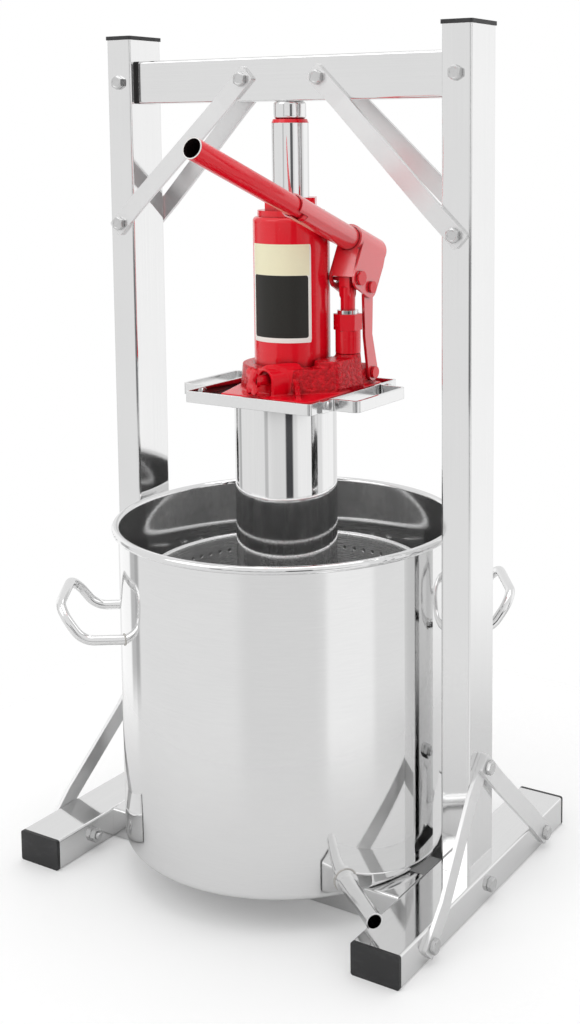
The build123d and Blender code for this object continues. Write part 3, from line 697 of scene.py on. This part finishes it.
casting = {
    "voxel": 0.75, "rounds": 7, "relax": 0.5, "sides": 96, "draft": 5.0, "bore": 20.0, "seat": 31.0,
    "plateTop": 390.3, "plateLeft": 45.0, "plateBack": 50.0, "slant": 17.4, "root": 2.0, "drumTop": 409.8,
    "flank": ((0, 0, 42.3), (4, -6, 40.0), (40, -8, 13.5)),  # circles, each with its centre and radius
    "shoulder": ((40, -8, 13.5), (43, 16, 12.5)), "shoulderTop": 415.0,
    "hood": (7.0, -49.0), "hoodTurn": 23.0, "hoodWidth": 13.0, "hoodLength": 29.0, "hoodStart": 45.0,
    "crown": 0.75, "arch": 8.5, "archDepth": 6.0, "archAhead": 3.0,
    "valveHeight": 402.3, "valveBore": 5.2, "valveMouth": 0.5, "lug": (39.4, 399.5), "lugBore": 4.0,
    "pump": (43.0, 16.0), "pumpBore": 9.4, "pumpWell": 8.7, "pumpReach": (404.0, 422.0), "drillSides": 72,
    "skinStart": 0.5, "skinFade": 2.5, "oldRib": (34.6, -56.0, 41.4, -20.0),
    "gusset": {
        "turn": -52.0, "root": 36.0, "reach": 71.5, "lip": 2.2, "shoulder": 43.0, "top": 403.3, "thick": 4.0},
    "cutter": {
        "below": 12.0, "height": 40, "half": 90, "wide": 60, "backHalf": 70, "backWide": 20, "lift": 0.05,
        "ribHeight": 30},
}


def slab(bm, outline, push):  # a flat outline pushed along a vector, closed all round
    near = [bm.verts.new(Vector(p) * mm) for p in outline]
    far = [bm.verts.new((Vector(p) + Vector(push)) * mm) for p in outline]
    count = len(outline)
    faces = [bm.faces.new(near), bm.faces.new(list(reversed(far)))]
    for i in range(count):
        faces.append(bm.faces.new((near[i], far[i], far[(i + 1) % count], near[(i + 1) % count])))
    bmesh.ops.recalc_face_normals(bm, faces=faces)


def flatBox(left, front, right, rear, height):
    return [(left, front, height), (right, front, height), (right, rear, height), (left, rear, height)]


def bandRing(circles, height, shrink, count):  # the line of a belt drawn round some circles
    ring = []
    for turn in turnsRound(count):
        aim = Vector((cos(turn), sin(turn)))
        x, y, radius = max(circles, key=lambda c: Vector(c[:2]).dot(aim) + c[2] - shrink)
        ring.append((x + (radius - shrink) * aim.x, y + (radius - shrink) * aim.y, height))
    return ring


def castingCutters(size, face, out):
    cut = size["cutter"]
    bm = bmesh.new()
    low = size["plateTop"] - cut["below"]
    floor = size["plateTop"] + cut["lift"]
    turn = radians(size["slant"])
    away = Vector((-cos(turn), -sin(turn), 0))
    along = Vector((-away.y, away.x, 0)) * cut["half"]
    edge = away * size["plateLeft"] + Vector((0, 0, low))
    past = away * cut["wide"]
    slab(bm, [edge - along, edge + along, edge + along + past, edge - along + past], (0, 0, cut["height"]))
    back, half = size["plateBack"], cut["backHalf"]
    slab(bm, flatBox(-half, back, half, back + cut["backWide"], low), (0, 0, cut["height"]))
    slab(bm, flatBox(*size["oldRib"], floor), (0, 0, cut["ribHeight"]))
    ahead = Vector((out.x, out.y, 0))
    side = Vector((-out.y, out.x, 0)) * size["arch"]
    mouth = Vector((face.x, face.y, floor)) + ahead * size["archAhead"]
    reach = ahead * (size["archDepth"] + size["archAhead"])
    pocket = [mouth - side, mouth + side, mouth + side - reach, mouth - side - reach]
    slab(bm, pocket, (0, 0, size["valveHeight"] - floor))
    return addObject("castingCutters", meshFrom(bm, "castingCutters"))


def castingSolid(size, face, out):
    bm = bmesh.new()
    bm.from_mesh(nodes["jack_base"].data)
    bmesh.ops.remove_doubles(bm, verts=bm.verts, dist=0.01 * mm)
    blank = addObject("castingBlank", meshFrom(bm, "castingBlank"))
    cutters = castingCutters(size, face, out)
    cutAway(blank, cutters)
    bm = bmesh.new()
    bm.from_mesh(bakedMesh(blank, cutters))
    count = size["sides"]
    low, top = size["plateTop"] - size["root"], size["drumTop"]
    rise = size["shoulderTop"] - low
    taper = tan(radians(size["draft"]))
    rings = [bandRing(size["flank"], low, 0, count), bandRing(size["flank"], top, (top - low) * taper, count)]
    rings += [circleRing(size["seat"], height, count) for height in (top, low)]
    rings = [[bm.verts.new(p) for p in ring] for ring in scaled(rings)]
    faces = []
    for a, b in zip(rings, rings[1:] + rings[:1]):
        faces += [bm.faces.new((a[i], a[(i + 1) % count], b[(i + 1) % count], b[i])) for i in range(count)]
    bmesh.ops.recalc_face_normals(bm, faces=faces)
    boss = size["shoulder"]
    rings = [bandRing(boss, low, 0, count), bandRing(boss, low + rise, rise * taper, count)]
    bm.from_mesh(ringMesh("shoulder", scaled(rings)))
    rib = size["gusset"]
    turn = radians(rib["turn"])
    beside = Vector((-sin(turn), cos(turn), 0)) * rib["thick"]
    profile = [
        (rib["root"], low), (rib["reach"], low), (rib["reach"], low + rib["lip"]),
        (rib["shoulder"], rib["top"]), (rib["root"], rib["top"])]
    slab(bm, [Vector((r * cos(turn), r * sin(turn), z)) - beside / 2 for r, z in profile], beside)
    return addObject("castingSolid", meshFrom(bm, "castingSolid"))


def makeCasting(size):
    turn = radians(size["hoodTurn"])
    out = Vector((-sin(turn), -cos(turn)))
    face, pump = Vector(size["hood"]), Vector(size["pump"])
    solid = castingSolid(size, face, out)
    remesh = solid.modifiers.new("skin", "REMESH")
    remesh.mode = "VOXEL"
    remesh.voxel_size = size["voxel"] * mm
    well = [circleRing(size["pumpWell"], height, size["drillSides"], pump) for height in size["pumpReach"]]
    drill = addObject("pumpDrill", ringMesh("pumpDrill", scaled(well)))
    cutAway(solid, drill)  # the pump's thread hole, opened again through the thicker wall
    skin = bakedMesh(solid, drill)
    free = []
    rough = skin.attributes.new("castSkin", "FLOAT", "POINT")
    for v in skin.vertices:
        x, y, z = (c / mm for c in v.co)
        spot = Vector((x, y))
        ahead = (spot - face).dot(out)
        aside = abs((spot - face).cross(out))
        onHood = aside < size["hoodWidth"] and -size["hoodLength"] < ahead
        inBore = spot.length < size["bore"] or (spot - pump).length < size["pumpBore"]
        inBore = inBore or hypot(y - size["lug"][0], z - size["lug"][1]) < size["lugBore"]
        nearValve = aside < size["valveBore"] and abs(z - size["valveHeight"]) < size["valveBore"]
        inBore = inBore or (nearValve and -size["hoodLength"] < ahead < size["valveMouth"])
        if not inBore:
            free.append(v.index)
        if onHood and spot.length > size["hoodStart"] and z > size["valveHeight"]:  # its crown is flat
            v.co.z = (size["valveHeight"] + (z - size["valveHeight"]) * size["crown"]) * mm
        side = min(1.0, max(0.0, (z - size["plateTop"] - size["skinStart"]) / size["skinFade"]))
        rough.data[v.index].value = 0.0 if onHood else side
    body = addObject("castingSkin", skin)
    body.vertex_groups.new(name="free").add(free, 1.0, "REPLACE")
    relax = body.modifiers.new("relax", "SMOOTH")
    relax.factor = size["relax"]
    relax.iterations = size["rounds"]
    relax.vertex_group = "free"
    made = bakedMesh(body)
    addPiece("jackCasting", made, "press_head", ["jack_base"], "redCasting", sharp=60.0)
    print("casting", len(made.polygons), "faces")


makeCasting(casting)


# Release valve: stem and butterfly wing

valve = {
    "face": (*casting["hood"], casting["valveHeight"]), "turn": casting["hoodTurn"], "wingAt": 11.5,
    "thick": 4.0, "outline": ((0, 8.8), (3.4, 10.6), (6.5, 8.6), (6.1, 4.8), (3.7, 0)), "steps": 8,
    "edge": ((-1.0, 0.82), (-0.85, 0.93), (-0.5, 1.0), (0.5, 1.0), (0.85, 0.93), (1.0, 0.82)),
    "stem": ((-21.5, 3.4), (-20.7, 4.0), (5.5, 4.0), (6.3, 5.2), (9.7, 5.2)), "sides": 40,  # reach, radius
}


def smoothLoop(points, steps):  # a closed line that bends smoothly through the points
    loop = []
    count = len(points)
    for i in range(count):
        a, b, c, d = (Vector(points[(i + k) % count]) for k in (-1, 0, 1, 2))
        for t in (k / steps for k in range(steps)):
            bend = (2 * a - 5 * b + 4 * c - d) * t * t
            loop.append((2 * b + (c - a) * t + bend + (3 * b - a - 3 * c + d) * t ** 3) / 2)
    return loop


def makeValve(size):
    turn = radians(size["turn"])
    out = Vector((-sin(turn), -cos(turn), 0))
    side = Vector((cos(turn), -sin(turn), 0))
    up = Vector((0, 0, 1))
    face = Vector(size["face"])
    upper = list(size["outline"])
    lower = [(x, -y) for x, y in reversed(upper[:-1])]
    loop = smoothLoop(upper + lower + [(-x, y) for x, y in reversed(upper[1:] + lower[:-1])], size["steps"])
    wing = []
    for share, scale in size["edge"]:
        centre = face + out * (size["wingAt"] + size["thick"] / 2 * share)
        wing.append([centre + side * p.x * scale + up * (p.y * scale) for p in loop])
    rays = [side * cos(t) + up * sin(t) for t in turnsRound(size["sides"])]
    stem = [[face + out * depth + ray * radius for ray in rays] for depth, radius in size["stem"]]
    bm = bmesh.new()
    bm.from_mesh(ringMesh("wing", scaled(wing)))
    bm.from_mesh(ringMesh("stem", scaled(stem)))
    bmesh.ops.recalc_face_normals(bm, faces=bm.faces)
    made = meshFrom(bm, "releaseValve")
    addPiece("releaseValve", made, "valve", ["release_valve"], "redEnamel", sharp=40.0)
    print("release valve", len(loop), "points round its wing")


makeValve(valve)


# Sticker on the tank, plain cream paper and a black panel

sticker = {
    "radius": 30.8, "lift": 0.06, "thick": 0.1, "low": 429.0, "high": 507.0, "middle": -77.5, "half": 51.5,
    "columns": 56, "rows": 24, "corner": 1.6,
}
stickerLook = {
    "panel": (2.8, 3.8, 2.6, 53.4),  # left, bottom, gap at the right, top
    "corner": 2.2, "margin": 1.6, "fade": 0.4, "inkFade": 0.1,
    "white": (0.95, 0.94, 0.90, 1), "cream": (0.94, 0.90, 0.63, 1), "shade": (0.80, 0.77, 0.61, 1),
    "ink": (0.020, 0.020, 0.018, 1), "inkLight": (0.036, 0.035, 0.031, 1), "soil": 0.25, "cloudScale": 60.0,
    "fibreScale": 1800.0, "fibreDepth": 0.004 * mm, "fibreRough": 0.1, "rough": 0.28, "inkRough": 0.08,
    "shine": 0.2,
}


def makeSticker(size, look):
    width = radians(2 * size["half"]) * size["radius"]
    height = size["high"] - size["low"]
    addFinishes(labelFinish, look, {"stickerPaper": {"size": (width, height)}})
    bm = bmesh.new()
    grid = []
    inset = size["corner"]
    radius = (size["radius"] + size["lift"]) * mm
    for row in range(size["rows"] + 1):
        line = []
        for column in range(size["columns"] + 1):
            x, y = column / size["columns"] * width, row / size["rows"] * height
            nearX, nearY = min(x, width - x), min(y, height - y)
            if nearX < inset and nearY < inset:  # round the corners
                scale = min(1.0, inset / hypot(inset - nearX, inset - nearY))
                cx = inset if x < width / 2 else width - inset
                cy = inset if y < height / 2 else height - inset
                x, y = cx + (x - cx) * scale, cy + (y - cy) * scale
            turn = radians(size["middle"] - size["half"]) + x / size["radius"]
            spot = (radius * cos(turn), radius * sin(turn), (size["low"] + y) * mm)
            line.append((bm.verts.new(spot), (x / width, y / height)))
        grid.append(line)
    layer = bm.loops.layers.uv.new("sticker")
    for low, high in zip(grid, grid[1:]):
        for i in range(size["columns"]):
            corners = [low[i], low[i + 1], high[i + 1], high[i]]
            quad = bm.faces.new([vert for vert, _ in corners])
            for loop, (_, uv) in zip(quad.loops, corners):
                loop[layer].uv = uv
    made = thickened(meshFrom(bm, "stickerSheet"), size["thick"] * mm, 1.0)
    addPiece("tankSticker", made, "press_head", finish="stickerPaper", sharp=50.0)
    print("sticker", round(width, 1), "by", round(height, 1), "mm")


makeSticker(sticker, stickerLook)


# Weld beads that follow a seam

beadShape = {"segments": 8, "rings": 5, "least": 0.85, "most": 1.1, "long": 0.75, "tall": 0.8}


def weldTree(shape):
    group, plan = newGroup("weldBead", {
        "Geometry": "Geometry", "Spacing": "Float", "Bead": "Float", "Seed": "Int", "Finish": "Material"})
    seam = plan.node("GeometryNodeMeshToCurve", {}, {"Mesh": plan.given("Geometry")})
    steps = plan.node("GeometryNodeResampleCurve", {"mode": "LENGTH"}, {
        "Curve": seam, "Length": plan.given("Spacing")})
    scale = plan.node("GeometryNodeMeshUVSphere", {}, {
        "Segments": shape["segments"], "Rings": shape["rings"], "Radius": plan.given("Bead")}, "Mesh")
    scale = plan.node("GeometryNodeSetShadeSmooth", {}, {"Geometry": scale})
    tangent = plan.node("GeometryNodeInputTangent")
    along = plan.node("FunctionNodeAlignRotationToVector", {"axis": "X"}, {"Vector": tangent})
    size = plan.node("FunctionNodeRandomValue", {"data_type": "FLOAT"}, {
        "Min_001": shape["least"], "Max_001": shape["most"], "Seed": plan.given("Seed")}, "Value_001")
    girth = plan.node("ShaderNodeCombineXYZ", {}, {0: size * shape["long"], 1: size, 2: size * shape["tall"]})
    scales = plan.repeat(steps, scale, {"Rotation": along, "Scale": girth})
    plan.closeGroup(plan.realize(scales))
    return group


weldGroup = weldTree(beadShape)


def weld(name, loops, body, look):
    points, edges = [], []
    for loop in loops:
        start = len(points)
        points += [[v * mm for v in p] for p in loop]
        edges += [(start + i, start + (i + 1) % len(loop)) for i in range(len(loop))]
    mesh = runGroup(weldGroup, plainMesh(name + "Seam", points, edges), {
        "Spacing": look["spacing"] * mm, "Bead": look["bead"] * mm, "Seed": look["seed"],
        "Finish": finishes["weldSteel"]})
    addPiece(name, mesh, body, sharp=60.0)
    print(name, len(loops), "seams")


barrelWelds = {
    "wall": 136.1, "spoutTurn": -37.9, "spoutHeight": 38.2, "spoutRing": 8.6, "handleTurns": (35.2, 215.2),
    "handleHalf": 43.0, "handleHeight": 197.9, "rod": 4.1, "sides": 48, "bead": 0.8, "spacing": 0.9,
    "seed": 5,
}
headWelds = {"radius": 41.5, "height": 380.9, "sides": 180, "bead": 0.7, "spacing": 0.9, "seed": 11}


def wallLoop(size, turn, offset, height, radius):  # the line on which a round rod meets the barrel
    loop = []
    c, s = cos(radians(turn)), sin(radians(turn))
    for t in turnsRound(size["sides"]):
        side = offset + radius * cos(t)
        out = sqrt(size["wall"] ** 2 - side ** 2)
        x, y = pressAxis[0] + out * c - side * s, pressAxis[1] + out * s + side * c
        loop.append((x, y, height + radius * sin(t)))
    return loop


def barrelSeams(size):
    seams = [wallLoop(size, size["spoutTurn"], 0, size["spoutHeight"], size["spoutRing"])]
    for turn in size["handleTurns"]:
        for offset in (-size["handleHalf"], size["handleHalf"]):
            seams.append(wallLoop(size, turn, offset, size["handleHeight"], size["rod"]))
    return seams


weld("barrelWelds", barrelSeams(barrelWelds), "barrel", barrelWelds)
headSeam = circleRing(headWelds["radius"], headWelds["height"], headWelds["sides"], pressAxis)
weld("headWeld", [headSeam], "press_head", headWelds)


# Barrel handles: round rod with wide bends

barrelHandles = {
    "turns": barrelWelds["handleTurns"], "legHalf": barrelWelds["handleHalf"],
    "low": barrelWelds["handleHeight"], "high": 223.7, "barrel": 135.9, "leg": 161.7, "grip": 180.4,
    "gripHalf": 39.4, "rod": 3.9, "bend": 19.0, "sides": 28, "steps": 14,
}


def roundedPath(corners, radius, steps):
    path = [Vector(corners[0])]
    for before, corner, after in zip(corners, corners[1:], corners[2:]):
        toStart = (Vector(before) - Vector(corner)).normalized()
        toEnd = (Vector(after) - Vector(corner)).normalized()
        half = toStart.angle(toEnd) / 2
        middle = Vector(corner) + (toStart + toEnd).normalized() * radius / sin(half)
        first = Vector(corner) + toStart * radius / tan(half) - middle
        last = Vector(corner) + toEnd * radius / tan(half) - middle
        sweep = first.angle(last)
        for t in (i / steps for i in range(steps + 1)):
            arm = first * sin((1 - t) * sweep) + last * sin(t * sweep)
            path.append(middle + arm / sin(sweep))
    path.append(Vector(corners[-1]))
    return path


def rodRings(path, radius, sides):
    rings = []
    up = (path[1] - path[0]).normalized().orthogonal().normalized()
    for i, spot in enumerate(path):
        ahead = (path[min(i + 1, len(path) - 1)] - path[max(i - 1, 0)]).normalized()
        up = (up - ahead * up.dot(ahead)).normalized()
        across = ahead.cross(up)
        rings.append([spot + (up * cos(t) + across * sin(t)) * radius for t in turnsRound(sides)])
    return scaled(rings)


def makeHandles(size):
    root = sqrt(size["barrel"] ** 2 - (size["legHalf"] + size["rod"]) ** 2)
    corners = [
        (root, -size["legHalf"], size["low"]), (size["leg"], -size["legHalf"], size["low"]),
        (size["grip"], -size["gripHalf"], size["high"])]
    corners += [(x, -y, z) for x, y, z in reversed(corners)]
    bm = bmesh.new()
    for turn in size["turns"]:
        aim = Matrix.Translation((*pressAxis, 0)) @ Matrix.Rotation(radians(turn), 4, "Z")
        path = [aim @ p for p in roundedPath(corners, size["bend"], size["steps"])]
        bm.from_mesh(ringMesh("handleRod", rodRings(path, size["rod"], size["sides"])))
    bmesh.ops.recalc_face_normals(bm, faces=bm.faces)
    made = meshFrom(bm, "barrelHandles")
    replaced = ["barrel_handle_left", "barrel_handle_right"]
    addPiece("barrelHandles", made, "barrel", replaced, "turnedSteel", sharp=50.0)
    print("handles", len(size["turns"]))


makeHandles(barrelHandles)


# Finishes for the solids that keep their own shape

wear = {
    "polishedUpright": ["upright_left", "upright_right", "upright_tenons"],
    "polishedFoot": ["foot_left", "foot_right"],
    "polishedRail": ["cross_rail_front", "cross_rail_rear", "top_beam", "beam_tenons"],
    "polishedBrace": [n for n in nodes if "_brace_" in n and not n.endswith("bolts")],
    "polishedBarrel": ["barrel"],
    "polishedSheet": ["press_plate", "plate_collar"],
    "polishedColumn": ["press_column", "ram"],
    "turnedSteel": ["spout", "extension_screw", "pump_gland", "ram_cylinder"],
    "foldedSteel": ["jack_tray", "strap_handle_left", "strap_handle_right"],
    "blackPlastic": ["upright_caps", "foot_caps"],
    "blackRubber": ["beam_gaskets"],
    "redLever": ["lever_front"],
    "redGloss": ["lever_rear", "handle_socket", "link_straps"],
    "redEnamel": [
        "jack_tank", "tank_nut", "ram_collar", "pump_cylinder", "pump_piston", "piston_pin", "link_pin",
        "lug_pin", "filler_plug"],
}
for finish, names in wear.items():
    for name in names:
        nodes[name].data.materials.clear()
        nodes[name].data.materials.append(finishes[finish])
print("finishes on", sum(len(names) for names in wear.values()), "solids")


# Studio

white = (1.0, 1.0, 1.0, 1)
studio = {
    "floorInner": 0.26, "floorOuter": 0.52, "floorGlow": 0.12, "floorRough": 0.6, "speckScale": 300.0,
    "floorTones": ((0.86, 0.86, 0.86, 1), (0.90, 0.90, 0.90, 1)), "floorShade": (0.77, 0.77, 0.77, 1),
    "glow": 0.88, "dark": (0.05, 0.05, 0.055, 1),
    "bands": (  # each has its direction and half width in degrees, depth, and lower and upper end
        (-48.0, 10.0, 0.9, -0.25, 0.1), (15.0, 6.5, 0.85, -0.25, 0.1), (-100.0, 5.0, 0.35, -0.25, 0.1),
        (179.0, 8.0, 0.5, -0.35, 0.1), (-181.0, 8.0, 0.5, -0.35, 0.1), (-60.0, 34.0, 0.1, -0.9, -0.3)),
    "bandFade": (0.6, 0.04, 0.2), "dusk": (-55.0, 60.0, 0.75, -0.18, -0.08), "duskFade": (0.5, 0.02, 0.03),
    "falloff": (45.0, 60.0, 0.35), "falloffRange": (-0.36, -0.43),
    "screens": ((56.0, 26.0, 0.2, -0.3, 0.3), (165.0, 22.0, 0.22, -0.9, 0.3), (-13.0, 20.0, 0.14, -0.9, 0.3)),
    "screenFade": (0.7, 0.08, 0.3), "target": (0, 0, 0.3),
    "lamps": {"key": ((-1.2, -1.8, 2.0), 1.6, 9.0), "top": ((0.1, 0.2, 2.3), 1.6, 8.0)},
}


def makeFloor(size):
    mesh = ringMesh("floor", [circleRing(size["floorOuter"], 0.0, count=96)], capStart=False)
    floor = addObject("floor", mesh)
    material, plan, place = newFinish("paleFloor")
    reach = plan.vectorMaths("LENGTH", place, out="Value")
    seen = plan.node("ShaderNodeLightPath", out="Is Camera Ray")
    tone = plan.mix(plan.noise(place, size["speckScale"], detail=2.0), *size["floorTones"])
    tone = plan.mix(seen, size["floorShade"], tone)  # duller in the steel than to the eye, as photographed
    glow = plan.mix(seen, (0, 0, 0, 1), white)
    surface = plan.node("ShaderNodeBsdfPrincipled", {}, {
        "Base Color": tone, "Roughness": size["floorRough"], "Emission Color": glow,
        "Emission Strength": size["floorGlow"]})
    clear = plan.node("ShaderNodeBsdfTransparent")
    fade = plan.ramp(reach, size["floorInner"], size["floorOuter"])
    blend = plan.node("ShaderNodeMixShader", {}, {0: fade, 1: surface, 2: clear})
    plan.node("ShaderNodeOutputMaterial", {}, {"Surface": blend})
    mesh.materials.append(material)


def makeWorld(size):
    world = bpy.data.worlds.new("studioWhite")
    world.use_nodes = True
    bpy.context.scene.world = world
    plan = Plan(world.node_tree)
    x, y, z = plan.split(plan.node("ShaderNodeTexCoord", out="Generated"))
    seen = plan.node("ShaderNodeLightPath", out="Is Camera Ray")
    turn = y.maths("ARCTAN2", x) * (180 / pi)

    def patch(spread, fade):  # a soft-edged part of the studio's walls
        middle, width, depth, low, high = spread
        core, under, over = fade
        level = plan.ramp(z, low - under, low) * plan.ramp(z, high + over, high)
        return plan.ramp(abs(turn - middle), width, width * core) * level * depth

    dim = patch(size["dusk"], size["duskFade"])  # the unlit room in front, level with the jack
    for band in size["bands"]:  # dark gaps between the white screens
        dim = dim + patch(band, size["bandFade"])
    middle, width, depth = size["falloff"]  # the floor cloth falls off towards the right
    dim = dim + plan.ramp(abs(turn - middle), width, 0.0) * plan.ramp(z, *size["falloffRange"]) * depth
    shade = plan.mix(dim.maths("MINIMUM", 1.0), white, size["dark"])
    away = size["glow"]
    for screen in size["screens"]:  # brighter screens on the left and right
        away = patch(screen, size["screenFade"]) + away
    light = plan.node("ShaderNodeBackground", {}, {
        "Color": plan.mix(seen, shade, white), "Strength": away + seen * (1.0 - away)})
    plan.node("ShaderNodeOutputWorld", {}, {"Surface": light})


def makeLight(name, target, spot, width, power):
    lamp = bpy.data.lights.new(name, "AREA")
    lamp.shape = "SQUARE"
    lamp.size = width
    lamp.energy = power
    holder = addObject(name, lamp)
    toward = Vector(target) - Vector(spot)
    holder.matrix_world = Matrix.Translation(spot) @ toward.to_track_quat("-Z", "Y").to_matrix().to_4x4()
    holder.visible_camera = False


makeFloor(studio)
makeWorld(studio)
for lampName, lamp in studio["lamps"].items():
    makeLight(lampName, studio["target"], *lamp)

photoView = {
    "spot": (0.64592, -0.93687, 0.59095), "tilt": 83.519, "turn": 30.918, "roll": -0.252, "lens": 49.759,
    "shift": (-0.09, -0.21),
}
camera = bpy.data.cameras.new("photoView")
camera.lens = photoView["lens"]
camera.shift_x, camera.shift_y = photoView["shift"]
viewer = addObject("photoView", camera)
aim = Matrix.Translation(photoView["spot"])
for angle, axis in (("turn", "Z"), ("tilt", "X"), ("roll", "Z")):
    aim = aim @ Matrix.Rotation(radians(photoView[angle]), 4, axis)
viewer.matrix_world = aim
bpy.context.scene.camera = viewer
bpy.context.scene.view_settings.view_transform = "Standard"
print("studio and camera set")
